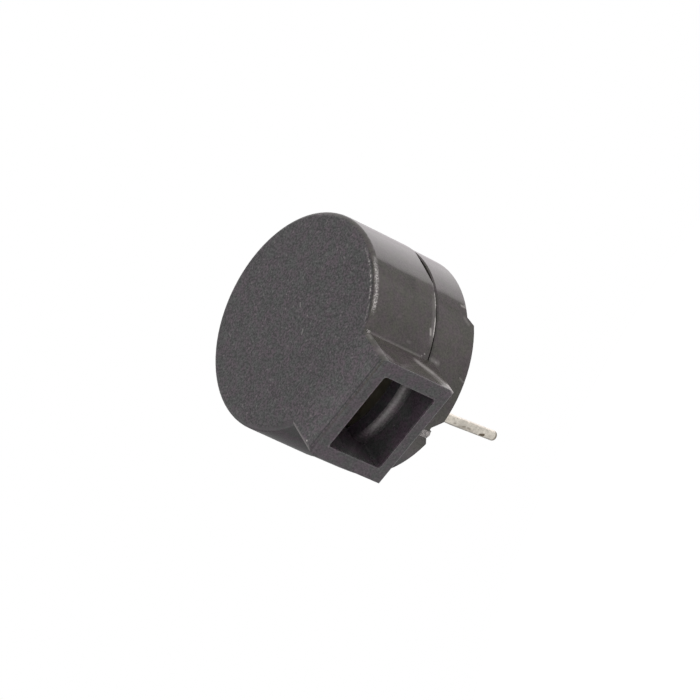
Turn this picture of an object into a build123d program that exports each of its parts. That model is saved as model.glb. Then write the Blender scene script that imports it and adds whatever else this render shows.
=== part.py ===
from build123d import *

import os
from math import cos, radians, sin, tan

os.makedirs("parts", exist_ok=True)

# Board-mounted piezo buzzer with a sound port on its side.
# The origin is on the axis of the round body, in the plane of the circuit board that it stands on.
# +Z points to the closed face, +X to the sound port. All sizes are in millimetres.

# Housing, outside
rim_radius = 7.0
cap_draft = 0.07
cap_height = 5.14
face_edge_radius = 0.35
rim_edge_chamfer = 0.08
base_step = 0.05
seam_gap = 0.12

# Housing, inside
face_wall = 0.8
chamber_wall = 1.1
rim_wall = 0.7
base_floor = 1.0
chamber_corner_chamfer = 0.3

# Sound port
port_width = 5.37
port_height = 4.14
port_reach = 8.85
port_side_wall = 0.93
port_floor_wall = 0.8
port_corner_radius = 0.18
port_edge_radius = 0.12
sill_height = 0.75
sill_thickness = 0.45
sill_edge_radius = 0.35
skirt_clearance = 0.05

# Pry relief in the cap's rim
relief_width = 3.6
relief_depth = 0.42
relief_angle = 86.0

# Collar of the base, a push fit in the cap
collar_clearance = 0.05
collar_wall = 0.6

# Stand-offs under the base, with the angles where their sloping ends run out into the base
standoff_height = 0.55
standoff_width = 1.0
standoff_start_angle = 2.0
standoff_end_angle = 62.3
standoff_start_slope = 0.64
standoff_end_slope = 0.36

# Stub left by the mould gate on the lower edge of the base
gate_width = 0.75
gate_height = 0.3
gate_depth = 0.6
gate_angle = -2.4
gate_taper = 22.0

# Pins
pin_pitch = 7.6
pin_radius = 0.33
pin_root_radius = 0.5
pin_length = 7.0
pin_tip_radius = 0.2
pin_top = 0.5
bend_depth = 3.0
bend_angle = 2.9
bend_radius = 12.0
bend_heading = 112.0

# Sounding element
plate_thickness = 0.12
plate_clearance = 0.05
bond_thickness = 0.08
bond_margin = 0.08
ceramic_margin = 1.75
ceramic_thickness = 0.12
electrode_margin = 0.2
electrode_thickness = 0.02
tongue_length = 2.4
tongue_width = 1.5
tongue_gap = 0.25
tongue_angle = 270.0

# Circuit board
board_thickness = 0.6
board_clearance = 0.15
board_hole_clearance = 0.08
pad_thickness = 0.035
pin_pad_radius = 0.95
wire_pad_width = 1.0
wire_pad_inset = 1.1

# Chip resistors, with the place of each one's centre on the board
chip_length = 1.6
chip_width = 0.8
chip_height = 0.45
chip_end_length = 0.3
chip_end_step = 0.02
chip_pad_overhang = 0.3
chip_solder_height = 0.3
chip_places = [(0.2, -0.2), (-1.7, -1.7), (1.6, -1.7)]

# Transistor
transistor_length = 2.9
transistor_width = 1.3
transistor_height = 0.95
transistor_lift = 0.06
transistor_headroom = 0.305
transistor_edge_radius = 0.08
transistor_place = (-1.2, 2.2)
lead_pitch = 1.9
lead_width = 0.4
lead_thickness = 0.12
lead_level = 0.45
lead_shoulder = 0.2
lead_foot = 0.35
lead_pad_margin = 0.12

# Lead wires between the board and the sounding element
wire_radius = 0.2
strip_length = 0.25
wire_slack = 0.3
wire_end_share = 0.22
wire_pad_rise = 0.24
wire_drop_fall = 0.22
wire_bend_share = 0.45
solder_bead_radius = 0.44
pin_solder_height = 0.4
pin_solder_top_width = 0.08
main_drop_inset = 0.8
feedback_drop_inset = 1.2
plate_pad_angle = 252.0
plate_drop_angle = 204.0
main_pad_angle = 82.0
main_drop_angle = 22.0
feedback_pad_angle = 332.0

# Levels, stacked up from the board plane
base_bottom_level = standoff_height
floor_level = base_bottom_level + base_floor
board_level = floor_level + board_thickness
pad_level = board_level + pad_thickness
body_under_level = pad_level + transistor_lift
element_under_level = body_under_level + transistor_height + transistor_headroom
ceramic_under_level = element_under_level + electrode_thickness
plate_under_level = ceramic_under_level + ceramic_thickness
collar_level = plate_under_level - bond_thickness
seat_level = plate_under_level + plate_thickness
sill_level = seat_level + sill_thickness
port_floor_level = sill_level - sill_height
port_bottom_level = port_floor_level - port_floor_wall
ceiling_level = port_floor_level + port_height
face_level = ceiling_level + face_wall
rim_level = face_level - cap_height
shoulder_level = rim_level - seam_gap

# Radii that follow from the walls and the fits
face_radius = rim_radius - cap_draft
base_radius = rim_radius - base_step
chamber_radius = rim_radius - chamber_wall
bore_radius = rim_radius - rim_wall
collar_radius = bore_radius - collar_clearance
cavity_radius = collar_radius - collar_wall
plate_radius = bore_radius - plate_clearance
board_radius = cavity_radius - board_clearance
ceramic_radius = plate_radius - ceramic_margin
electrode_radius = ceramic_radius - electrode_margin
port_box_width = port_width + 2 * port_side_wall
pin_x = pin_pitch / 2


def on_circle(radius, angle):
    """Point at a radius and an angle in degrees from +X."""
    return (radius * cos(radians(angle)), radius * sin(radians(angle)))


# Core that forms the sound port: the duct outside the round wall, and the window over the sill
with BuildPart() as port_core:
    with BuildSketch(Plane.YZ) as duct_section:
        with Locations((0, port_floor_level + port_height / 2)):
            RectangleRounded(port_width, port_height, port_corner_radius)
    extrude(amount=port_reach + port_side_wall)
    with BuildSketch(Plane.XZ) as sill_profile:
        with Locations((rim_radius / 2, (sill_level + port_bottom_level) / 2)):
            Rectangle(rim_radius, sill_level - port_bottom_level)
        fillet(sill_profile.vertices().group_by(Axis.Y)[-1].sort_by(Axis.X)[-1], sill_edge_radius)
    revolve(axis=Axis.Z, mode=Mode.SUBTRACT)

# Cap: the port box is made first, with all its outer edges rounded, and the round cup is added to it
with BuildPart() as cap:
    with BuildSketch(Plane.YZ) as box_front:
        with Locations((0, (face_level + port_bottom_level) / 2)):
            Rectangle(port_box_width, face_level - port_bottom_level)
        fillet(box_front.vertices().group_by(Axis.Y)[-1], face_edge_radius)
        fillet(box_front.vertices().group_by(Axis.Y)[0], port_edge_radius)
    extrude(amount=port_reach)
    with BuildSketch(Plane.XZ) as box_side:
        with Locations((port_reach / 2, (face_level + port_bottom_level) / 2)):
            Rectangle(port_reach, face_level - port_bottom_level)
        fillet(box_side.vertices().group_by(Axis.X)[-1].sort_by(Axis.Y)[-1], face_edge_radius)
        fillet(box_side.vertices().group_by(Axis.X)[-1].sort_by(Axis.Y)[0], port_edge_radius)
    extrude(amount=port_box_width, both=True, mode=Mode.INTERSECT)
    with BuildSketch(Plane.XY.offset(port_bottom_level)) as box_plan:
        with Locations((port_reach / 2, 0)):
            Rectangle(port_reach, port_box_width)
        fillet(box_plan.vertices().group_by(Axis.X)[-1], port_edge_radius)
    extrude(amount=face_level - port_bottom_level, mode=Mode.INTERSECT)
    # The base passes inside the lower end of the box
    with BuildSketch(Plane.XY.offset(port_bottom_level)) as skirt_clear:
        Circle(base_radius + skirt_clearance)
    extrude(amount=rim_level - port_bottom_level, mode=Mode.SUBTRACT)
    # Round cup with a slight draft towards the face
    with BuildSketch(Plane.XZ) as cup_profile:
        with BuildLine() as cup_outline:
            Polyline(
                (0, rim_level),
                (rim_radius, rim_level),
                (face_radius, face_level),
                (0, face_level),
                close=True,
            )
        make_face()
        chamfer(cup_profile.vertices().sort_by(Axis.X)[-1], rim_edge_chamfer)
        fillet(cup_profile.vertices().group_by(Axis.Y)[-1].sort_by(Axis.X)[-1], face_edge_radius)
    revolve(axis=Axis.Z)
    # Bore for the collar, the seat of the brass plate, and the sound chamber above it
    with BuildSketch(Plane.XZ) as cup_hollow:
        with BuildLine() as hollow_outline:
            Polyline(
                (0, rim_level),
                (bore_radius, rim_level),
                (bore_radius, seat_level),
                (chamber_radius, seat_level),
                (chamber_radius, ceiling_level),
                (0, ceiling_level),
                close=True,
            )
        make_face()
        chamfer(cup_hollow.vertices().group_by(Axis.Y)[-1].sort_by(Axis.X)[-1], chamber_corner_chamfer)
    revolve(axis=Axis.Z, mode=Mode.SUBTRACT)
    add(port_core.part, mode=Mode.SUBTRACT)
    # Shallow arched relief in the rim, where a blade can part the cap from the base
    relief_plane = Plane(origin=(0, 0, rim_level), x_dir=(*on_circle(1, relief_angle + 90), 0),
                         z_dir=(*on_circle(1, relief_angle), 0))
    with BuildSketch(relief_plane) as relief:
        with BuildLine() as relief_outline:
            relief_arch = ThreePointArc(
                (-relief_width / 2, 0),
                (0, relief_depth),
                (relief_width / 2, 0),
            )
            Line(relief_arch @ 1, relief_arch @ 0)
        make_face()
    extrude(amount=rim_radius + rim_wall, mode=Mode.SUBTRACT)
cap.part.label = "cap"

# Four stand-offs, each a piece of a ring with sloping ends
with BuildPart() as standoffs:
    with BuildSketch(Plane.XY) as standoff_plan:
        with BuildLine() as standoff_outline:
            standoff_sweep = standoff_end_angle - standoff_start_angle
            outer_arc = CenterArc((0, 0), base_radius, standoff_start_angle, standoff_sweep)
            inner_arc = CenterArc((0, 0), base_radius - standoff_width, standoff_start_angle, standoff_sweep)
            Line(outer_arc @ 0, inner_arc @ 0)
            Line(outer_arc @ 1, inner_arc @ 1)
        make_face()
    extrude(amount=base_bottom_level)
    standoff_slopes = [(standoff_start_angle, standoff_start_slope), (standoff_end_angle, -standoff_end_slope)]
    for slope_angle, slope_length in standoff_slopes:
        slope_plane = Plane(origin=(0, 0, 0), x_dir=(*on_circle(1, slope_angle + 90), 0),
                            z_dir=(*on_circle(1, slope_angle), 0))
        with BuildSketch(slope_plane) as slope_cut:
            with BuildLine() as slope_outline:
                Polyline((0, 0), (0, base_bottom_level), (slope_length, 0), close=True)
            make_face()
        extrude(amount=rim_radius + standoff_width, mode=Mode.SUBTRACT)
    mirror(about=Plane.XZ)
    mirror(about=Plane.YZ)

# Base: cup with the collar, on its stand-offs
with BuildPart() as base:
    with BuildSketch(Plane.XZ) as base_profile:
        with BuildLine() as base_outline:
            Polyline(
                (0, base_bottom_level),
                (base_radius, base_bottom_level),
                (base_radius, shoulder_level),
                (collar_radius, shoulder_level),
                (collar_radius, collar_level),
                (cavity_radius, collar_level),
                (cavity_radius, floor_level),
                (0, floor_level),
                close=True,
            )
        make_face()
        chamfer(base_profile.vertices().group_by(Axis.X)[-1].sort_by(Axis.Y)[-1], rim_edge_chamfer)
    revolve(axis=Axis.Z)
    add(standoffs.part)
    # Gate stub on the lower edge
    gate_plane = Plane(origin=(0, 0, base_bottom_level), x_dir=(*on_circle(1, gate_angle), 0), z_dir=(0, 0, -1))
    with BuildSketch(gate_plane) as gate:
        with Locations((base_radius - gate_depth / 2, 0)):
            Rectangle(gate_depth, gate_width)
    extrude(amount=gate_height, taper=gate_taper)
    # Press holes for the pins
    with Locations((-pin_x, 0, floor_level), (pin_x, 0, floor_level)):
        Hole(pin_root_radius, base_floor)
base.part.label = "base"

# Pin far from the port, straight, with a thicker root that is pressed into the base
pin_head_level = board_level + pin_top
with BuildPart() as pin_back_side:
    with BuildSketch(Plane.XY.offset(-pin_length)) as back_pin_section:
        with Locations((-pin_x, 0)):
            Circle(pin_radius)
    extrude(amount=pin_length + base_bottom_level)
    fillet(pin_back_side.edges().group_by(Axis.Z)[0], pin_tip_radius)
    with BuildSketch(Plane.XY.offset(base_bottom_level)) as back_root_section:
        with Locations((-pin_x, 0)):
            Circle(pin_root_radius)
    extrude(amount=pin_head_level - base_bottom_level)
pin_back_side.part.label = "pin_back_side"

# Pin next to the port, bent a little near its free end
bend_plane = Plane(
    origin=(pin_x, 0, 0),
    x_dir=(*on_circle(1, bend_heading), 0),
    z_dir=(*on_circle(1, bend_heading - 90), 0),
)
with BuildPart() as pin_port_side:
    with BuildLine(bend_plane) as pin_route:
        pin_shank = Line((0, base_bottom_level), (0, -bend_depth))
        pin_bend = JernArc(pin_shank @ 1, pin_shank % 1, bend_radius, bend_angle)
        free_length = pin_length - bend_depth - bend_radius * radians(bend_angle)
        Line(pin_bend @ 1, (pin_bend @ 1) + (pin_bend % 1) * free_length)
    with BuildSketch(Plane.XY.offset(base_bottom_level)) as port_pin_section:
        with Locations((pin_x, 0)):
            Circle(pin_radius)
    sweep(path=pin_route.wire())
    fillet(pin_port_side.edges().group_by(Axis.Z)[0], pin_tip_radius)
    with BuildSketch(Plane.XY.offset(base_bottom_level)) as port_root_section:
        with Locations((pin_x, 0)):
            Circle(pin_root_radius)
    extrude(amount=pin_head_level - base_bottom_level)
pin_port_side.part.label = "pin_port_side"

# Sounding element: brass plate with the ceramic and its silver fields on the underside
with BuildPart() as diaphragm_plate:
    with BuildSketch(Plane.XY.offset(plate_under_level)) as plate_section:
        Circle(plate_radius)
    extrude(amount=plate_thickness)
diaphragm_plate.part.label = "diaphragm_plate"

with BuildPart() as diaphragm_bond:
    with BuildSketch(Plane.XY.offset(collar_level)) as bond_section:
        Circle(collar_radius)
        Circle(cavity_radius + bond_margin, mode=Mode.SUBTRACT)
    extrude(amount=bond_thickness)
diaphragm_bond.part.label = "diaphragm_bond"

with BuildPart() as ceramic_disc:
    with BuildSketch(Plane.XY.offset(ceramic_under_level)) as ceramic_section:
        Circle(ceramic_radius)
    extrude(amount=ceramic_thickness)
ceramic_disc.part.label = "ceramic_disc"

electrode_plane = Plane.XY.offset(element_under_level)
with BuildPart() as feedback_electrode:
    with BuildSketch(electrode_plane) as tongue:
        with Locations(on_circle(electrode_radius, tongue_angle)):
            SlotOverall(2 * tongue_length, tongue_width, rotation=tongue_angle)
        Circle(electrode_radius, mode=Mode.INTERSECT)
    extrude(amount=electrode_thickness)
feedback_electrode.part.label = "feedback_electrode"

with BuildPart() as main_electrode:
    with BuildSketch(electrode_plane) as main_field:
        Circle(electrode_radius)
        with Locations(on_circle(electrode_radius, tongue_angle)):
            SlotOverall(
                2 * (tongue_length + tongue_gap),
                tongue_width + 2 * tongue_gap,
                rotation=tongue_angle,
                mode=Mode.SUBTRACT,
            )
    extrude(amount=electrode_thickness)
main_electrode.part.label = "main_electrode"

# Circuit board on the floor of the base
board_hole_radius = pin_root_radius + board_hole_clearance
with BuildPart() as circuit_board:
    with BuildSketch(Plane.XY.offset(floor_level)) as board_section:
        Circle(board_radius)
        with Locations((-pin_x, 0), (pin_x, 0)):
            Circle(board_hole_radius, mode=Mode.SUBTRACT)
    extrude(amount=board_thickness)
circuit_board.part.label = "circuit_board"

# Where the wires start on the board and end on the element
wire_pad_place_radius = board_radius - wire_pad_inset
plate_drop_place_radius = (ceramic_radius + cavity_radius) / 2
plate_pad_place = on_circle(wire_pad_place_radius, plate_pad_angle)
main_pad_place = on_circle(wire_pad_place_radius, main_pad_angle)
feedback_pad_place = on_circle(wire_pad_place_radius, feedback_pad_angle)
plate_drop_place = on_circle(plate_drop_place_radius, plate_drop_angle)
main_drop_place = on_circle(ceramic_radius - main_drop_inset, main_drop_angle)
feedback_drop_place = on_circle(ceramic_radius - feedback_drop_inset, tongue_angle)

# Ends of the chips, and feet of the transistor: two on one side and one on the other
chip_end_offset = (chip_length - chip_end_length) / 2
chip_end_places = [(x + side * chip_end_offset, y) for x, y in chip_places for side in (-1, 1)]
foot_reach = transistor_width / 2 + lead_shoulder + lead_foot
transistor_x, transistor_y = transistor_place
foot_sites = [(transistor_x - lead_pitch / 2, -1), (transistor_x + lead_pitch / 2, -1), (transistor_x, 1)]
foot_middle = foot_reach - lead_foot / 2

with BuildPart() as board_pads:
    with BuildSketch(Plane.XY.offset(board_level)) as pad_fields:
        with Locations((-pin_x, 0), (pin_x, 0)):
            Circle(pin_pad_radius)
            Circle(board_hole_radius, mode=Mode.SUBTRACT)
        with Locations(plate_pad_place, main_pad_place, feedback_pad_place):
            Rectangle(wire_pad_width, wire_pad_width)
        for x, y in chip_places:
            for side in (-1, 1):
                with Locations((x + side * (chip_end_offset + chip_pad_overhang / 2), y)):
                    Rectangle(chip_end_length + chip_pad_overhang, chip_width)
        for x, side in foot_sites:
            with Locations((x, transistor_y + side * foot_middle)):
                Rectangle(lead_width + 2 * lead_pad_margin, lead_foot + 2 * lead_pad_margin)
    extrude(amount=pad_thickness)
board_pads.part.label = "board_pads"

# Chip resistors: ceramic between two tinned ends, with a solder wedge outside each end
with BuildPart() as resistor_bodies:
    with BuildSketch(Plane.XY.offset(pad_level + chip_end_step)) as chip_sections:
        with Locations(*chip_places):
            Rectangle(chip_length - 2 * chip_end_length, chip_width - 2 * chip_end_step)
    extrude(amount=chip_height - 2 * chip_end_step)
resistor_bodies.part.label = "resistor_bodies"

with BuildPart() as resistor_end_caps:
    with BuildSketch(Plane.XY.offset(pad_level)) as chip_end_sections:
        with Locations(*chip_end_places):
            Rectangle(chip_end_length, chip_width)
    extrude(amount=chip_height)
resistor_end_caps.part.label = "resistor_end_caps"

with BuildPart() as chip_solder:
    for x, y in chip_places:
        with BuildSketch(Plane.XZ.offset(-y)) as wedge_pair:
            for side in (-1, 1):
                wedge_root = x + side * chip_length / 2
                wedge_toe = wedge_root + side * chip_pad_overhang
                with BuildLine():
                    Polyline(
                        (wedge_root, pad_level),
                        (wedge_toe, pad_level),
                        (wedge_root, pad_level + chip_solder_height),
                        close=True,
                    )
                make_face()
        extrude(amount=chip_width / 2, both=True)
chip_solder.part.label = "chip_solder"

# Transistor: moulded body on three leads bent down to the board
with BuildPart() as transistor_body:
    with BuildSketch(Plane.XY.offset(body_under_level)) as transistor_section:
        with Locations(transistor_place):
            Rectangle(transistor_length, transistor_width)
    extrude(amount=transistor_height)
    fillet(transistor_body.edges().group_by(Axis.Z)[-1], transistor_edge_radius)
transistor_body.part.label = "transistor_body"

with BuildPart() as transistor_leads:
    for x, side in foot_sites:
        lead_plane = Plane(
            origin=(x, transistor_y + side * transistor_width / 2, pad_level),
            x_dir=(0, side, 0),
            z_dir=(side, 0, 0),
        )
        with BuildSketch(lead_plane) as lead_profile:
            with BuildLine():
                Polyline(
                    (0, lead_level),
                    (lead_shoulder, lead_level),
                    (lead_shoulder, 0),
                    (lead_shoulder + lead_foot, 0),
                    (lead_shoulder + lead_foot, lead_thickness),
                    (lead_shoulder + lead_thickness, lead_thickness),
                    (lead_shoulder + lead_thickness, lead_level + lead_thickness),
                    (0, lead_level + lead_thickness),
                    close=True,
                )
            make_face()
        extrude(amount=lead_width / 2, both=True)
transistor_leads.part.label = "transistor_leads"

# Lead wires: each one leaves its pad level, rises with a little slack, and ends level under the element
wire_start_level = pad_level + wire_pad_rise


def lead_route(pad_place, drop_place, under_level):
    """Corner points of a lead wire: level ends at the pad and the drop, and a slack rise between them."""
    wire_end_level = under_level - wire_drop_fall
    pad, drop = Vector(*pad_place), Vector(*drop_place)
    slack = (pad + drop).normalized() * wire_slack
    leave = pad + (drop - pad) * wire_end_share + slack
    arrive = drop + (pad - drop) * wire_end_share + slack
    return [
        (pad.X, pad.Y, wire_start_level),
        (leave.X, leave.Y, wire_start_level),
        (arrive.X, arrive.Y, wire_end_level),
        (drop.X, drop.Y, wire_end_level),
    ]


def bend_radii(points):
    """Largest bend at each inner corner of a route that its two runs leave room for."""
    runs = [Vector(*end) - Vector(*start) for start, end in zip(points, points[1:])]
    return [
        wire_bend_share * min(a.length, b.length) / tan(radians(a.get_angle(b)) / 2)
        for a, b in zip(runs, runs[1:])
    ]


def wire_along(points):
    """Insulated wire along the corner points, stopping where its stripped ends go into the solder."""
    with BuildPart() as wire:
        with BuildLine() as route:
            FilletPolyline(*points, radius=bend_radii(points))
        share = strip_length / route.wire().length
        path = route.wire().trim(share, 1 - share)
        with BuildSketch(Plane(origin=path @ 0, z_dir=path % 0)):
            Circle(wire_radius)
        sweep(path=path)
    return wire.part


plate_points = lead_route(plate_pad_place, plate_drop_place, plate_under_level)
main_points = lead_route(main_pad_place, main_drop_place, element_under_level)
feedback_points = lead_route(feedback_pad_place, feedback_drop_place, element_under_level)
wire_routes = [plate_points, main_points, feedback_points]
for route_points in wire_routes:
    print("wire bend radii", [round(radius, 2) for radius in bend_radii(route_points)])

plate_wire = wire_along(plate_points)
plate_wire.label = "plate_wire"
main_wire = wire_along(main_points)
main_wire.label = "main_wire"
feedback_wire = wire_along(feedback_points)
feedback_wire.label = "feedback_wire"

# Solder beads over the stripped ends of the wires, on the board's pads and under the element
def bead_plane(wire_end, next_point, level):
    """Upright plane on a flat, facing along the wire where its insulation starts."""
    along = (Vector(*next_point) - Vector(*wire_end)).normalized()
    start = Vector(*wire_end) + along * strip_length
    return Plane(origin=(start.X, start.Y, level), x_dir=Vector(0, 0, 1).cross(along), z_dir=along)


with BuildPart() as wire_solder:
    for route_points in wire_routes:
        with BuildSketch(bead_plane(route_points[0], route_points[1], pad_level)):
            with BuildLine():
                bead_arc = CenterArc((0, 0), solder_bead_radius, 0, 180)
                Line(bead_arc @ 1, bead_arc @ 0)
            make_face()
        extrude(amount=-2 * strip_length)
wire_solder.part.label = "wire_solder"

with BuildPart() as element_solder:
    for route_points, under_level in zip(wire_routes, (plate_under_level, element_under_level, element_under_level)):
        with BuildSketch(bead_plane(route_points[-1], route_points[-2], under_level)):
            with BuildLine():
                bead_arc = CenterArc((0, 0), solder_bead_radius, 180, 180)
                Line(bead_arc @ 1, bead_arc @ 0)
            make_face()
        extrude(amount=-2 * strip_length)
element_solder.part.label = "element_solder"

# Solder cones round the pins, on the pads
with BuildPart() as pin_solder:
    with BuildSketch(Plane.XZ) as pin_cone_profile:
        with BuildLine():
            Polyline(
                (pin_root_radius, pad_level),
                (pin_pad_radius, pad_level),
                (pin_root_radius + pin_solder_top_width, pad_level + pin_solder_height),
                (pin_root_radius, pad_level + pin_solder_height),
                close=True,
            )
        make_face()
    pin_cone = revolve(axis=Axis.Z, mode=Mode.PRIVATE)
    with Locations((-pin_x, 0), (pin_x, 0)):
        add(pin_cone)
pin_solder.part.label = "pin_solder"

pieces = [
    cap.part,
    base.part,
    pin_port_side.part,
    pin_back_side.part,
    diaphragm_plate.part,
    diaphragm_bond.part,
    ceramic_disc.part,
    main_electrode.part,
    feedback_electrode.part,
    circuit_board.part,
    board_pads.part,
    resistor_bodies.part,
    resistor_end_caps.part,
    chip_solder.part,
    transistor_body.part,
    transistor_leads.part,
    plate_wire,
    main_wire,
    feedback_wire,
    wire_solder.part,
    element_solder.part,
    pin_solder.part,
]
for piece in pieces:
    export_step(piece, f"parts/{piece.label}.step")
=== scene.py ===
import math

import bpy
from mathutils import Matrix, Vector


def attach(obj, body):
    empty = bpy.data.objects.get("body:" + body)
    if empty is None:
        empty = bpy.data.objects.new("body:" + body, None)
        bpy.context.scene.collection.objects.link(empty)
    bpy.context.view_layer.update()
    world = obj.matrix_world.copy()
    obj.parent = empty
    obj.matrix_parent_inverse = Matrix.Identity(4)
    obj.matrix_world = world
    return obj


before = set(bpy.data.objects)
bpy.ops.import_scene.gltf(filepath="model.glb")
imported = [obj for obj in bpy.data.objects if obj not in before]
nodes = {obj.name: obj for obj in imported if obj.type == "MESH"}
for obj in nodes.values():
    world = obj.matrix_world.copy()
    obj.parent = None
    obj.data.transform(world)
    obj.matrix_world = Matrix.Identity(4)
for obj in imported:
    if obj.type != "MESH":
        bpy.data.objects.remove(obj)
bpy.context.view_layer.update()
scene = bpy.context.scene
MM = 0.001


def mm(*values):
    """A point or a size in millimetres, in metres."""
    return tuple(value * MM for value in values)


# Camera: it looks down on the port from the side, rolled so that the pins run off to the right
CAMERA_LENS = 138.857
CAMERA_PLACE = mm(119.322, 46.153, 104.959)
CAMERA_RIGHT = (0.36975, 0.60110, -0.70849)
CAMERA_UP = (-0.57458, 0.74717, 0.33405)
CAMERA_BACK = (0.73016, 0.28358, 0.62165)

camera_data = bpy.data.cameras.new("camera")
camera_data.sensor_width = 36.0
camera_data.lens = CAMERA_LENS
camera_data.clip_start = 0.01
camera_data.clip_end = 20.0
camera = bpy.data.objects.new("camera", camera_data)
scene.collection.objects.link(camera)
camera.matrix_world = Matrix.Translation(CAMERA_PLACE) @ Matrix(
    (CAMERA_RIGHT, CAMERA_UP, CAMERA_BACK)
).transposed().to_4x4()
scene.camera = camera

# Sizes of the housing that the finishes and the small pieces follow, in millimetres
FACE_LEVEL = 8.4
FACE_RADIUS = 6.93
EDGE_RADIUS = 0.35
EDGE_START = FACE_RADIUS - EDGE_RADIUS
CEILING_LEVEL = 7.6
RIM_LEVEL = 3.26
BORE_RADIUS = 6.3
CHAMBER_RADIUS = 5.9
PORT_FRONT = 8.85
BOX_SIDE = 3.62
DUCT_SIDE = 2.7
DUCT_FLOOR = 3.46
BASE_LEVEL = 0.55
PIN_END = -7.0


# Node trees, written as expressions
class Value:
    """An output socket that takes Python's arithmetic and adds the Math nodes for it."""

    def __init__(self, tree, socket):
        self.tree, self.socket = tree, socket

    def math(self, operation, *others, first=None):
        operands = [self if first is None else first, *others]
        return self.tree.add("ShaderNodeMath", {"operation": operation}, dict(enumerate(operands)))

    def __add__(self, other):
        return self.math("ADD", other)

    __radd__ = __add__

    def __mul__(self, other):
        return self.math("MULTIPLY", other)

    __rmul__ = __mul__

    def __sub__(self, other):
        return self.math("SUBTRACT", other)

    def __rsub__(self, other):
        return self.math("SUBTRACT", self, first=other)

    def step(self, start, end):
        """0 at start and 1 at end, with a smooth change between them; start may be the larger."""
        return self.tree.add(
            "ShaderNodeMapRange",
            {"interpolation_type": "SMOOTHSTEP"},
            {"Value": self, "From Min": start, "From Max": end},
        )

    def band(self, start, full, last, end):
        """0 outside start and end, 1 between full and last."""
        return self.step(start, full) * self.step(end, last)

    def near(self, middle, width):
        """1 at a middle value, falling to 0 at a width from it."""
        return (self - middle).math("ABSOLUTE").step(width, 0)

    def top(self, other):
        """The larger of two values."""
        return self.math("MAXIMUM", other)


class Tree:
    """The node tree of a material, of the world or of a modifier."""

    def __init__(self, node_tree):
        self.node_tree = node_tree

    def add(self, kind, settings=None, inputs=None, output=0):
        node = self.node_tree.nodes.new(kind)
        for key, setting in (settings or {}).items():
            setattr(node, key, setting)
        for key, value in (inputs or {}).items():
            self.join(value, node.inputs[key])
        return Value(self, node.outputs[output])

    def join(self, value, socket):
        if isinstance(value, Value):
            self.node_tree.links.new(value.socket, socket)
        else:
            socket.default_value = value

    def vector(self, operation, *operands, output=0):
        settings = {"operation": operation}
        return self.add("ShaderNodeVectorMath", settings, dict(enumerate(operands)), output)

    def scaled(self, vector, factor):
        inputs = {0: vector, "Scale": factor}
        return self.add("ShaderNodeVectorMath", {"operation": "SCALE"}, inputs)

    def place(self):
        """Object coordinates in millimetres."""
        return self.scaled(self.add("ShaderNodeTexCoord", output="Object"), 1 / MM)

    def axes(self, place):
        """X, Y and Z of a place."""
        separate = "ShaderNodeSeparateXYZ"
        return [self.add(separate, inputs={0: place}, output=axis) for axis in "XYZ"]

    def from_axis(self, place):
        """Distance of a place from the axis of the body."""
        flat = self.vector("MULTIPLY", place, (1, 1, 0))
        return self.vector("LENGTH", flat, output="Value")

    def noise(self, place, scale, detail=2.0, roughness=0.5):
        inputs = {"Vector": place, "Scale": scale, "Detail": detail, "Roughness": roughness}
        return self.add("ShaderNodeTexNoise", {}, inputs)

    def blend(self, factor, first, second):
        """Colour between two colours."""
        inputs = {0: factor, 6: first, 7: second}
        return self.add("ShaderNodeMix", {"data_type": "RGBA"}, inputs, output=2)

    def bump(self, height, depth, normal=None):
        """Normal of a height map whose full range is a depth in millimetres."""
        inputs = {"Height": height, "Strength": 1.0, "Distance": depth * MM}
        if normal is not None:
            inputs["Normal"] = normal
        return self.add("ShaderNodeBump", {}, inputs)

    def waves(self, place):
        """Normal of the slow waves in a moulded wall."""
        return self.bump(self.noise(place, 0.5, 1.0), 0.015)

    def mark(self, place, start, end, width, soft=0.5):
        """1 on a straight stroke, 0 beyond half its width; soft is the share of it that fades."""
        along = Vector(end) - Vector(start)
        per_length = tuple(along / max(along.length_squared, 1e-9))
        run = self.vector("SUBTRACT", place, tuple(start))
        share = self.vector("DOT_PRODUCT", run, per_length, output="Value")
        held = share.math("MAXIMUM", 0.0).math("MINIMUM", 1.0)
        away = self.vector("DISTANCE", run, self.scaled(tuple(along), held), output="Value")
        return away.step(width / 2, width / 2 * (1 - soft))

    def marks(self, place, strokes):
        """Several strokes as one mask; each gives its strength, start, end, width and softness."""
        mask = None
        for strength, *stroke in strokes:
            made = self.mark(place, *stroke) * strength
            mask = made if mask is None else mask.top(made)
        return mask


def rgb(red, green, blue):
    return (red, green, blue, 1.0)


def shade(colour, factor):
    return tuple(factor * part for part in colour[:3]) + (1.0,)


def material(name, colour, **sockets):
    """A new principled material, its node tree, and its shader's sockets."""
    made = bpy.data.materials.new(name)
    made.use_nodes = True
    shader = made.node_tree.nodes["Principled BSDF"]
    shader.inputs["Base Color"].default_value = colour
    for socket, value in sockets.items():
        shader.inputs[socket.replace("_", " ")].default_value = value
    return made, Tree(made.node_tree), shader.inputs


def dress(node, made):
    """Gives a CAD node a material."""
    for slot in nodes[node].material_slots:
        slot.material = made


# Housing plastic: eroded grain on the face, satin walls, a few scratches, and painted highlights
# and painted shade along its edges
PLUM = rgb(0.040, 0.028, 0.036)
SLATE = rgb(0.031, 0.032, 0.031)
UMBER = rgb(0.052, 0.040, 0.043)
OLIVE = rgb(0.046, 0.043, 0.035)
# Pale colour of scratches and scuffs, also used for painted highlights and painted reflections
SCUFF_AND_HIGHLIGHT = rgb(0.42, 0.39, 0.38)
# Painted light: how much paler the chamber's wall is drawn, since little light gets in
CHAMBER_PAINTED_LIGHT = (8.5, 11.5, 13.5)

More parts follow.
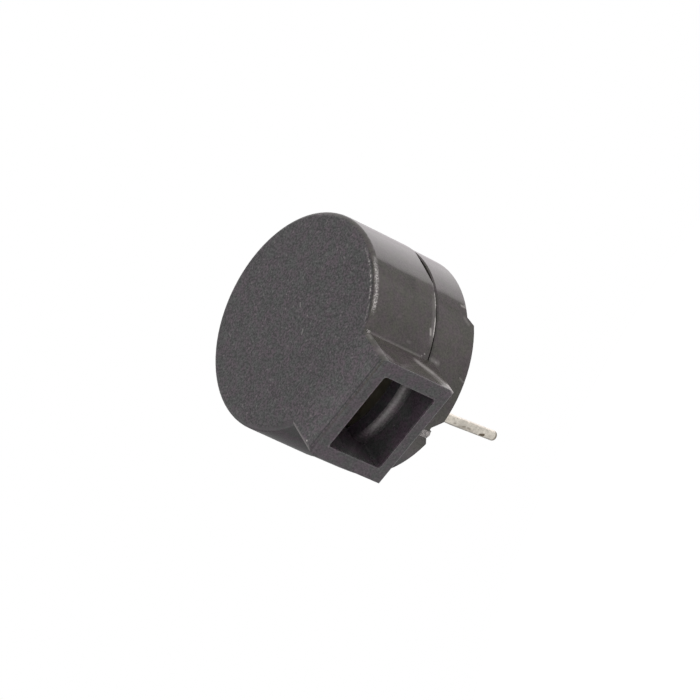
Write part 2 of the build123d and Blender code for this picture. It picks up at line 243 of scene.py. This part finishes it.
# Painted marks on the cap: strength, start, end, width and softness
CAP_MARKS = [
    # Short scratches and dots on the face; the last is a speck at the far edge of the port's box
    (0.3, (-0.36, 1.05, FACE_LEVEL), (-0.1, 0.9, FACE_LEVEL), 0.1),
    (0.3, (1.38, 0.27, FACE_LEVEL), (1.6, 0.03, FACE_LEVEL), 0.1),
    (0.35, (0.91, 0.98, FACE_LEVEL), (0.93, 0.97, FACE_LEVEL), 0.13),
    (0.3, (-1.89, 0.57, FACE_LEVEL), (-1.87, 0.56, FACE_LEVEL), 0.11),
    (0.3, (-1.13, 0.01, FACE_LEVEL), (-1.11, 0.0, FACE_LEVEL), 0.11),
    (0.9, (7.95, -3.29, FACE_LEVEL), (7.97, -3.29, FACE_LEVEL), 0.15),
    # Soft painted reflections on the near side of the port's box: its corner with the wall, its
    # edges, its foot
    (0.18, (5.98, BOX_SIDE, 8.3), (5.98, BOX_SIDE, 3.9), 0.34, 1.0),
    (0.16, (7.75, 3.6, 8.15), (8.3, 3.6, 7.75), 0.9, 1.0),
    (0.2, (6.1, 3.6, 8.25), (6.5, 3.6, 8.25), 0.4, 1.0),
    (0.45, (6.9, BOX_SIDE, 4.6), (7.45, BOX_SIDE, 3.75), 1.1, 1.0),
    (0.3, (7.5, BOX_SIDE, 3.7), (8.3, BOX_SIDE, 3.0), 1.0, 1.0),
    (0.8, (8.25, BOX_SIDE, 2.9), (8.75, BOX_SIDE, 2.75), 0.5, 0.9),
    # Painted highlight along the upper edge on the far side of the box
    (0.3, (6.05, -3.52, 8.28), (8.45, -3.52, 8.28), 0.42, 0.6),
    # One more painted reflection on the box, and two painted highlights on the wall beside it
    (0.16, (7.25, BOX_SIDE, 4.5), (8.3, BOX_SIDE, 3.5), 0.7, 1.0),
    (0.55, (4.84, 5.03, 3.66), (5.06, 4.81, 3.6), 0.28, 1.0),
    (0.1, (5.69, 4.04, 5.2), (5.69, 4.04, 5.0), 0.3, 1.0),
]

# Painted marks on the base: two beside the box, three over its lower edge, one on a stand-off
BASE_MARKS = [
    (0.2, (5.86, 3.72, 3.0), (5.88, 3.7, 2.45), 0.5, 1.0),
    (0.35, (5.88, 3.7, 2.64), (5.89, 3.69, 2.58), 0.22, 0.8),
    (0.35, (2.62, 6.44, 0.95), (2.62, 6.44, 0.6), 0.26, 0.8),
    (0.14, (3.36, 6.08, 0.8), (3.6, 5.95, 0.5), 0.44, 1.0),
    (0.3, (2.47, 6.5, 0.66), (2.47, 6.5, 0.56), 0.16, 0.8),
    (0.2, (6.03, 3.51, 0.45), (6.1, 3.4, 0.1), 0.22, 1.0),
]


def plastic_grain(finish, place, coarse, plum):
    """Mottled colour of the moulded plastic, the height of its grain and a slow cloud."""
    grain = finish.noise(place, 7.0, 1.5, 0.65)
    fine = finish.noise(place, 17.0, 0.0)
    cloud = finish.noise(place, 0.7, 3.0)
    tint = finish.noise(place, 1.3, 3.0, 0.7).step(0.36, 0.64)
    tone = (
        (grain - 0.5) * (coarse * 1.25 + 0.4)
        + (fine - 0.5) * (coarse * 0.5 + 0.2)
        + (cloud - 0.5) * 0.25
        + 0.5
    )
    warm = finish.blend(tint, UMBER, OLIVE)
    hue = finish.blend(plum, warm, finish.blend(tint, PLUM, SLATE))
    dark = finish.scaled(hue, 0.1)
    light = finish.scaled(hue, 1.9)
    mottled = finish.blend(tone.step(0.1, 0.9), dark, light)
    specks = finish.noise(place, 6.5, 0.0).step(0.68, 0.82) * coarse
    return finish.blend(specks * 0.13, mottled, SCUFF_AND_HIGHLIGHT), grain, cloud


def cap_finish():
    made, finish, sockets = material("cap_plastic", PLUM)
    place = finish.place()
    x, y, z = finish.axes(place)
    radius = finish.from_axis(place)
    bearing = y.math("ARCTAN2", x) * math.degrees(1)
    aside = y.math("ABSOLUTE")

    # Zones of the moulding
    face = z.step(FACE_LEVEL - 0.05, FACE_LEVEL - 0.01)
    front = x.step(PORT_FRONT - 0.17, PORT_FRONT - 0.1)
    wall = radius.step(6.82, 6.88)
    duct = aside.step(DUCT_SIDE + 0.06, DUCT_SIDE) * x.step(4.9, 5.1)
    duct = duct * z.step(DUCT_FLOOR - 0.08, DUCT_FLOOR - 0.02)
    inside = radius.step(BORE_RADIUS + 0.2, BORE_RADIUS + 0.1).top(duct)
    inside = inside * z.step(CEILING_LEVEL + 0.12, CEILING_LEVEL + 0.06)
    chamber = inside * radius.step(CHAMBER_RADIUS - 0.04, CHAMBER_RADIUS - 0.14)
    box_edge = aside.step(BOX_SIDE - 0.42, BOX_SIDE - 0.27) * x.step(5.9, 6.3)
    box_edge = box_edge * z.step(FACE_LEVEL - 0.45, FACE_LEVEL - 0.3)
    far_side = y.step(-1.5, -3.0)

    # The grain is coarsest on the face, weaker towards the port, and faint on the walls
    smooth_end = x.step(5.0, 8.0) * face
    coarse = (face - smooth_end * 0.3).top(front * 0.25)
    plum = face.top(front).top(inside).top(far_side)
    colour, grain, cloud = plastic_grain(finish, place, coarse, plum)
    # Painted light: the inside is paler, and the chamber's wall much more so, because little light
    # gets in there
    colour = finish.blend(inside, colour, finish.scaled(colour, 1.7))
    colour = finish.blend(chamber, colour, finish.vector("MULTIPLY", colour, CHAMBER_PAINTED_LIGHT))
    colour = finish.blend(smooth_end.top(front), colour, finish.scaled(colour, 1.3))

    # Painted highlights on the edge of the face, speckled like wear: a dotted line where the
    # rounding starts, a broader one low on it, and a painted dark reflection between them; painted
    # shade darkens a line along the box's front edge
    speckle = finish.noise(place, 8.5, 1.5, 0.7)
    beads = speckle.step(0.46, 0.6)
    patches = finish.noise(place, 1.6, 2.0).step(0.3, 0.6) * 0.5 + 0.5
    low_line = z.band(FACE_LEVEL - 0.38, FACE_LEVEL - 0.22, FACE_LEVEL - 0.14, FACE_LEVEL - 0.06)
    low_line = low_line * radius.step(EDGE_START + 0.02, EDGE_START + 0.17)
    low_line = low_line * bearing.band(38, 48, 64, 75)
    inner_line = radius.near(EDGE_START, 0.1) * z.step(FACE_LEVEL - 0.03, FACE_LEVEL - 0.01)
    inner_line = inner_line * bearing.band(28, 50, 64, 86)
    rub_and_highlight = low_line * (beads * 0.85 + 0.2) * patches
    rub_and_highlight = rub_and_highlight + inner_line * (beads * 0.95 + 0.05) * patches * 0.95
    # Painted shade along the box's front edge
    painted_crease_shade = x.near(PORT_FRONT - EDGE_RADIUS, 0.08) * z.step(FACE_LEVEL - 0.1, FACE_LEVEL - 0.02)
    colour = finish.blend(painted_crease_shade, colour, finish.scaled(colour, 0.15))
    # Painted dark reflection between the two painted highlight lines
    painted_dark_line = z.near(FACE_LEVEL - 0.045, 0.035) * radius.step(EDGE_START + 0.02, EDGE_START + 0.12)
    painted_dark_line = painted_dark_line * bearing.band(28, 45, 70, 84) * (1 - beads * 0.8)
    colour = finish.blend(painted_dark_line, colour, finish.scaled(colour, 0.3))

    # Painted highlights on the lower rim over the seam, with a paler painted highlight band above
    # it
    rim = z.band(RIM_LEVEL - 0.02, RIM_LEVEL + 0.06, RIM_LEVEL + 0.12, RIM_LEVEL + 0.2)
    rim = rim * wall * (beads * 0.5 + 0.5)
    rim_highlight_spans = bearing.band(57, 60, 66, 68) * 0.7 + bearing.band(42, 45, 52, 54)
    rim_highlight_spans = rim_highlight_spans + bearing.band(66, 74, 98, 104) * 0.3
    pale_band = z.band(RIM_LEVEL, RIM_LEVEL + 0.04, RIM_LEVEL + 0.24, RIM_LEVEL + 0.49)
    pale_band = pale_band * wall * bearing.band(37, 42, 60, 70) * 0.12

    # The sill behind the port has a painted pool of light that fades down its outer face
    sill = radius.band(6.7, 6.76, 7.03, 7.06) * z.step(DUCT_FLOOR, 4.0)
    sill = sill * bearing.band(-22, -8, 21, 22.5) * x.step(5, 5.5)
    painted_sill_light = sill * (grain.step(0.35, 0.65) * 0.4 + 0.6) * z.step(4.4, 4.3) * 0.3

    strokes = finish.marks(place, CAP_MARKS)
    # Scratches together with the painted highlights, painted reflections and the sill's painted
    # light
    wear_and_highlights = (rub_and_highlight + rim * rim_highlight_spans + pale_band + strokes + painted_sill_light).math("MINIMUM", 1.0)
    finish.join(finish.blend(wear_and_highlights, colour, SCUFF_AND_HIGHLIGHT), sockets["Base Color"])
    matt = (front * 0.27).top(inside * 0.17).top(box_edge * 0.32)
    matt = matt.top(face * 0.38 - smooth_end * 0.08)
    finish.join(matt + 0.075 + (cloud - 0.5) * 0.03 + wear_and_highlights * 0.4, sockets["Roughness"])
    relief = grain * (coarse.top(inside * 0.2) * 0.9 + 0.04) + rub_and_highlight * speckle * 3
    finish.join(finish.bump(relief, 0.014, finish.waves(place)), sockets["Normal"])
    return made


def base_finish():
    made, finish, sockets = material("base_plastic", OLIVE)
    place = finish.place()
    y, z = finish.axes(place)[1:]
    radius = finish.from_axis(place)
    inside = radius.step(BORE_RADIUS + 0.3, BORE_RADIUS + 0.2)
    inside = inside.top(z.step(RIM_LEVEL - 0.06, RIM_LEVEL + 0.04))
    under = z.step(BASE_LEVEL + 0.02, BASE_LEVEL - 0.02) * radius.step(6.88, 6.8)
    far_side = y.step(-1.5, -3.0)
    colour, grain, cloud = plastic_grain(finish, place, under * 0.5, inside.top(far_side))
    strokes = finish.marks(place, BASE_MARKS)
    finish.join(finish.blend(strokes, colour, SCUFF_AND_HIGHLIGHT), sockets["Base Color"])
    gloss = 0.08 + (cloud - 0.5) * 0.03 + inside * 0.15 + strokes * 0.3
    finish.join(gloss, sockets["Roughness"])
    relief = grain * (inside * 0.6 + 0.04)
    finish.join(finish.bump(relief, 0.014, finish.waves(place)), sockets["Normal"])
    return made


dress("cap", cap_finish())
dress("base", base_finish())


# Metals and the small inner parts
def tinned(name, colour, roughness, specks=None):
    """Dull tin or solder; a pin also has pits, specks and a tarnished tip."""
    made, finish, sockets = material(name, colour, Metallic=1.0)
    place = finish.place()
    cloud = finish.noise(place, 1.6, 3.0)
    fine = finish.noise(place, 7.0, 2.0)
    mottle = (cloud * 0.6 + fine * 0.4).step(0.38, 0.62)
    tone = finish.blend(mottle, shade(colour, 0.74), colour)
    tarnish = 0.0
    if specks:
        z = finish.axes(place)[2]
        pits = finish.noise(place, 4.5, 3.0, 0.7).step(0.6, 0.7)
        tip = z.step(PIN_END + 0.32, PIN_END + 0.2)
        tarnish = (pits * 0.55).top(finish.marks(place, specks)).top(tip * 0.75)
        tone = finish.blend(tarnish, tone, rgb(0.13, 0.10, 0.07))
    finish.join(tone, sockets["Base Color"])
    finish.join(roughness + fine * 0.12 + tarnish * 0.2, sockets["Roughness"])
    finish.join(finish.bump(fine + cloud, 0.012), sockets["Normal"])
    return made


def plain(name, colour, roughness, variation=0.15, scale=2.0, depth=0.004, **shader_values):
    """A small inner part's finish: mottled colour, uneven gloss and a fine surface."""
    made, finish, sockets = material(name, colour, **shader_values)
    place = finish.place()
    cloud = finish.noise(place, scale, 3.0)
    mottled = finish.blend(cloud.step(0.3, 0.7), shade(colour, 1 - variation), colour)
    finish.join(mottled, sockets["Base Color"])
    finish.join(roughness + cloud * 0.1, sockets["Roughness"])
    finish.join(finish.bump(finish.noise(place, scale * 5, 2.0), depth), sockets["Normal"])
    return made


# Dark specks on the pin beside the port: strength, start, end, width and softness
PIN_SPECKS = [
    (0.6, (4.13, 0.0, -4.02), (4.12, 0.06, -4.2), 0.2, 0.8),
    (0.55, (4.11, 0.06, -4.45), (4.1, 0.06, -4.65), 0.2, 0.8),
    (0.3, (4.14, -0.06, -3.8), (4.12, 0.0, -4.9), 0.4, 1.0),
    (1.0, (4.05, 0.0, -5.66), (4.05, 0.06, -5.86), 0.32, 0.6),
    (0.5, (4.12, 0.0, -3.3), (4.12, 0.02, -3.4), 0.16, 0.8),
]
pin_tin = tinned("pin_tin", rgb(0.74, 0.69, 0.61), 0.3, PIN_SPECKS)
solder_tin = tinned("solder_tin", rgb(0.74, 0.75, 0.76), 0.18)
end_tin = tinned("end_tin", rgb(0.72, 0.72, 0.70), 0.3)
brass = plain("plate_brass", rgb(0.70, 0.58, 0.38), 0.34, 0.12, 1.0, 0.003, Metallic=1.0)
silver = plain("fired_silver", rgb(0.8, 0.79, 0.76), 0.4, 0.1, 1.5, 0.003, Metallic=1.0)
for node, made in {
    "pin_port_side": pin_tin,
    "pin_back_side": pin_tin,
    "diaphragm_plate": brass,
    "diaphragm_bond": plain("silicone_bond", rgb(0.7, 0.7, 0.67), 0.45),
    "ceramic_disc": plain("piezo_ceramic", rgb(0.62, 0.56, 0.42), 0.6),
    "main_electrode": silver,
    "feedback_electrode": silver,
    "circuit_board": plain("board_laminate", rgb(0.05, 0.19, 0.07), 0.35),
    "board_pads": plain("pad_copper", rgb(0.75, 0.48, 0.3), 0.3, 0.1, 2.0, 0.002, Metallic=1.0),
    "resistor_bodies": plain("chip_ceramic", rgb(0.03, 0.03, 0.035), 0.3),
    "resistor_end_caps": end_tin,
    "chip_solder": solder_tin,
    "transistor_body": plain("moulded_epoxy", rgb(0.025, 0.025, 0.027), 0.5),
    "transistor_leads": end_tin,
    "plate_wire": plain("black_sleeve", rgb(0.03, 0.03, 0.03), 0.4),
    "main_wire": plain("red_sleeve", rgb(0.55, 0.03, 0.02), 0.4),
    "feedback_wire": plain("blue_sleeve", rgb(0.03, 0.08, 0.42), 0.4),
    "wire_solder": solder_tin,
    "element_solder": solder_tin,
    "pin_solder": solder_tin,
}.items():
    dress(node, made)


# Crumbs of flash along the moulded edges
def crumb_finish():
    made, finish, sockets = material("crumb_plastic", rgb(0.35, 0.33, 0.32), Roughness=0.5)
    mottle = finish.noise(finish.place(), 12.0, 2.0)
    mottled = finish.blend(mottle.step(0.4, 0.62), rgb(0.1, 0.09, 0.09), rgb(0.4, 0.37, 0.36))
    finish.join(mottled, sockets["Base Color"])
    finish.join(0.35 + mottle * 0.3, sockets["Roughness"])
    return made


def crumbs_tree(crumb_material):
    """Geometry tree: a rough crumb on each point, sized by the point's size attribute."""
    node_tree = bpy.data.node_groups.new("crumbs", "GeometryNodeTree")
    interface = node_tree.interface
    interface.new_socket("Geometry", in_out="INPUT", socket_type="NodeSocketGeometry")
    for name, kind, value in (
        ("Crumb radius", "NodeSocketFloat", 0.5 * MM),
        ("Roughness", "NodeSocketFloat", 0.25 * MM),
        ("Seed", "NodeSocketInt", 7),
    ):
        interface.new_socket(name, in_out="INPUT", socket_type=kind).default_value = value
    interface.new_socket("Geometry", in_out="OUTPUT", socket_type="NodeSocketGeometry")

    tree = Tree(node_tree)
    seeds, radius, roughness, seed = [
        tree.add("NodeGroupInput", output=name)
        for name in ("Geometry", "Crumb radius", "Roughness", "Seed")
    ]
    ball = tree.add("GeometryNodeMeshIcoSphere", {}, {"Radius": radius, "Subdivisions": 2}, "Mesh")
    size = tree.add(
        "GeometryNodeInputNamedAttribute", {"data_type": "FLOAT"}, {"Name": "size"}, "Attribute"
    )
    turn = tree.add(
        "FunctionNodeRandomValue",
        {"data_type": "FLOAT_VECTOR"},
        {"Min": (0, 0, 0), "Max": (6.28, 6.28, 6.28), "Seed": seed},
        "Value",
    )
    points = tree.add("GeometryNodeMeshToPoints", {}, {"Mesh": seeds})
    placed = tree.add(
        "GeometryNodeInstanceOnPoints",
        {},
        {"Points": points, "Instance": ball, "Rotation": turn, "Scale": size},
    )
    real = tree.add("GeometryNodeRealizeInstances", {}, {"Geometry": placed})
    lumps = tree.add(
        "ShaderNodeTexNoise",
        {},
        {"Vector": tree.add("GeometryNodeInputPosition"), "Scale": 9.0 / MM, "Detail": 1.0},
        "Color",
    )
    shift = tree.scaled(tree.vector("SUBTRACT", lumps, (0.5, 0.5, 0.5)), roughness)
    moved = tree.add("GeometryNodeSetPosition", {}, {"Geometry": real, "Offset": shift})
    dressed = tree.add(
        "GeometryNodeSetMaterial", {}, {"Geometry": moved, "Material": crumb_material}
    )
    tree.join(dressed, node_tree.nodes.new("NodeGroupOutput").inputs[0])
    return node_tree


def grow(name, points, node_tree, slot, **inputs):
    """Runs a geometry tree on points that carry a size, and keeps the result as a plain mesh."""
    seeds = bpy.data.meshes.new(name + "_seeds")
    seeds.from_pydata([mm(*place) for place, size in points], [], [])
    sizes = seeds.attributes.new("size", "FLOAT", "POINT")
    sizes.data.foreach_set("value", [size for place, size in points])
    piece = bpy.data.objects.new(name, seeds)
    scene.collection.objects.link(piece)
    modifier = piece.modifiers.new("grow", "NODES")
    modifier.node_group = node_tree
    for item in node_tree.interface.items_tree:
        if item.name in inputs:
            modifier[item.identifier] = inputs[item.name]
    evaluated = piece.evaluated_get(bpy.context.evaluated_depsgraph_get())
    baked = bpy.data.meshes.new_from_object(evaluated)
    piece.modifiers.clear()
    piece.data = baked
    baked.name = name
    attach(piece, "root")


# Place of each crumb, and its size, where 1 is a crumb 1 mm across
CRUMBS = [
    ((5.96, BOX_SIDE, 8.2), 0.15),
    ((5.9, 3.68, 8.26), 0.1),
    ((5.99, 3.6, 7.28), 0.1),
    ((7.15, 3.5, 8.26), 0.06),
    ((5.95, 3.63, 3.89), 0.14),
    ((5.8, 3.86, 3.69), 0.08),
    ((7.51, -0.37, 3.45), 0.06),
    ((6.03, 3.48, 0.5), 0.06),
]
crumbs = crumbs_tree(crumb_finish())
grow("flash_crumbs", CRUMBS, crumbs, "cap_plastic")

# Torn scar on the stub that the mould's gate left under the port: four rows of five lumps, which
# fall back and get smaller towards both ends
SCAR_FRONT, SCAR_SIDE, SCAR_LEVEL = 6.9, -0.27, 0.45
SCAR_LUMP = 0.36
SCAR_PITCH_ACROSS, SCAR_PITCH_UP = 0.1, 0.14
SCAR = [
    (
        (
            SCAR_FRONT - 0.03 * across * across,
            SCAR_SIDE + SCAR_PITCH_ACROSS * across,
            SCAR_LEVEL + SCAR_PITCH_UP * up,
        ),
        SCAR_LUMP - 0.03 * across * across,
    )
    for across in (-2, -1, 0, 1, 2)
    for up in (0, 1, 2, 3)
]
grow("gate_scar", SCAR, crumbs, "base_plastic", Roughness=0.1 * MM, Seed=3)


# Studio: a pale round floor well below the pins, a white world, and soft lamps
FLOOR_LEVEL = -120.0
FLOOR_RADIUS = 110.0
FLOOR_SIDES = 96
turns = [math.tau * side / FLOOR_SIDES for side in range(FLOOR_SIDES)]
floor_ring = [
    mm(FLOOR_RADIUS * math.cos(turn), FLOOR_RADIUS * math.sin(turn), FLOOR_LEVEL) for turn in turns
]
floor_mesh = bpy.data.meshes.new("floor")
floor_mesh.from_pydata(floor_ring, [], [range(FLOOR_SIDES)])
floor = bpy.data.objects.new("floor", floor_mesh)
scene.collection.objects.link(floor)
floor_paint, floor_finish, floor_sockets = material(
    "floor_paint", rgb(0.8, 0.8, 0.8), Roughness=0.9
)
floor_mesh.materials.append(floor_paint)
# The camera sees the floor lit, and what mirrors it sees a fifth of that
seen = floor_finish.add("ShaderNodeLightPath", output="Is Camera Ray")
shine = floor_finish.add("ShaderNodeLightPath", output="Is Glossy Ray")
floor_sockets["Emission Color"].default_value = rgb(1, 1, 1)
floor_finish.join(seen.top(shine * 0.2) * 0.5, floor_sockets["Emission Strength"])

world = bpy.data.worlds.new("studio")
world.use_nodes = True
scene.world = world
sky = Tree(world.node_tree)
sky_seen = sky.add("ShaderNodeLightPath", output="Is Camera Ray")
sky_way = sky.add("ShaderNodeTexCoord", output="Generated")


def heading(azimuth, elevation):
    """Direction of an azimuth and an elevation in degrees."""
    across, up = math.radians(azimuth), math.radians(elevation)
    return Vector((math.cos(across) * math.cos(up), math.sin(across) * math.cos(up), math.sin(up)))


def patch(azimuth, elevation, inner, outer):
    """1 inside a round patch of the sky, 0 outside it; its two radii are in degrees."""
    middle = tuple(heading(azimuth, elevation))
    facing = sky.vector("DOT_PRODUCT", sky_way, middle, output="Value")
    return facing.step(math.cos(math.radians(outer)), math.cos(math.radians(inner)))


# The camera sees white; the object is lit by a sky that is darker low down and in three patches,
# each with its azimuth, elevation, inner and outer radius, and what it takes off the level
SKY_LEVEL = 0.93
SKY_PATCHES = [
    (222, -38, 20, 62, 0.63),
    (114, -38, 3, 12, 0.2),
    (190, -38, 6, 18, 0.2),
]
sky_level = SKY_LEVEL - sky.axes(sky_way)[2].step(-0.3, -0.5) * 0.1
for *spot, loss in SKY_PATCHES:
    sky_level = sky_level - patch(*spot) * loss
background = world.node_tree.nodes["Background"]
background.inputs["Color"].default_value = rgb(1, 1, 1)
sky.join(sky_seen.top(sky_level), background.inputs["Strength"])

LAMP_POWER = 4  # watts for each square metre of a lamp at level 1
WHITE = (1, 1, 1)
ROSE_WHITE = (1.0, 0.94, 0.97)


def lamp(name, azimuth, elevation, distance, width, height, level, colour=WHITE):
    """A soft rectangular lamp aimed at the object; at level 1 its face is white."""
    data = bpy.data.lights.new(name, "AREA")
    data.shape = "RECTANGLE"
    data.size, data.size_y = mm(width, height)
    data.energy = level * LAMP_POWER * data.size * data.size_y
    data.color = colour
    made = bpy.data.objects.new(name, data)
    scene.collection.objects.link(made)
    towards = heading(azimuth, elevation)
    made.location = towards * distance * MM
    made.rotation_mode = "QUATERNION"
    made.rotation_quaternion = towards.to_track_quat("Z", "Y")
    made.visible_camera = False


lamp("side_softbox", 155.0, -38.0, 110.0, 120.0, 70.0, 0.45, ROSE_WHITE)
lamp("side_core", 156.2, -38.0, 112.0, 118.6, 72.0, 0.2, ROSE_WHITE)
lamp("rim_strip", 88.0, 12.0, 150.0, 110.0, 70.0, 2.0)
lamp("port_fill", -15.0, 25.0, 150.0, 80.0, 80.0, 0.5)

scene.view_settings.view_transform = "Standard"
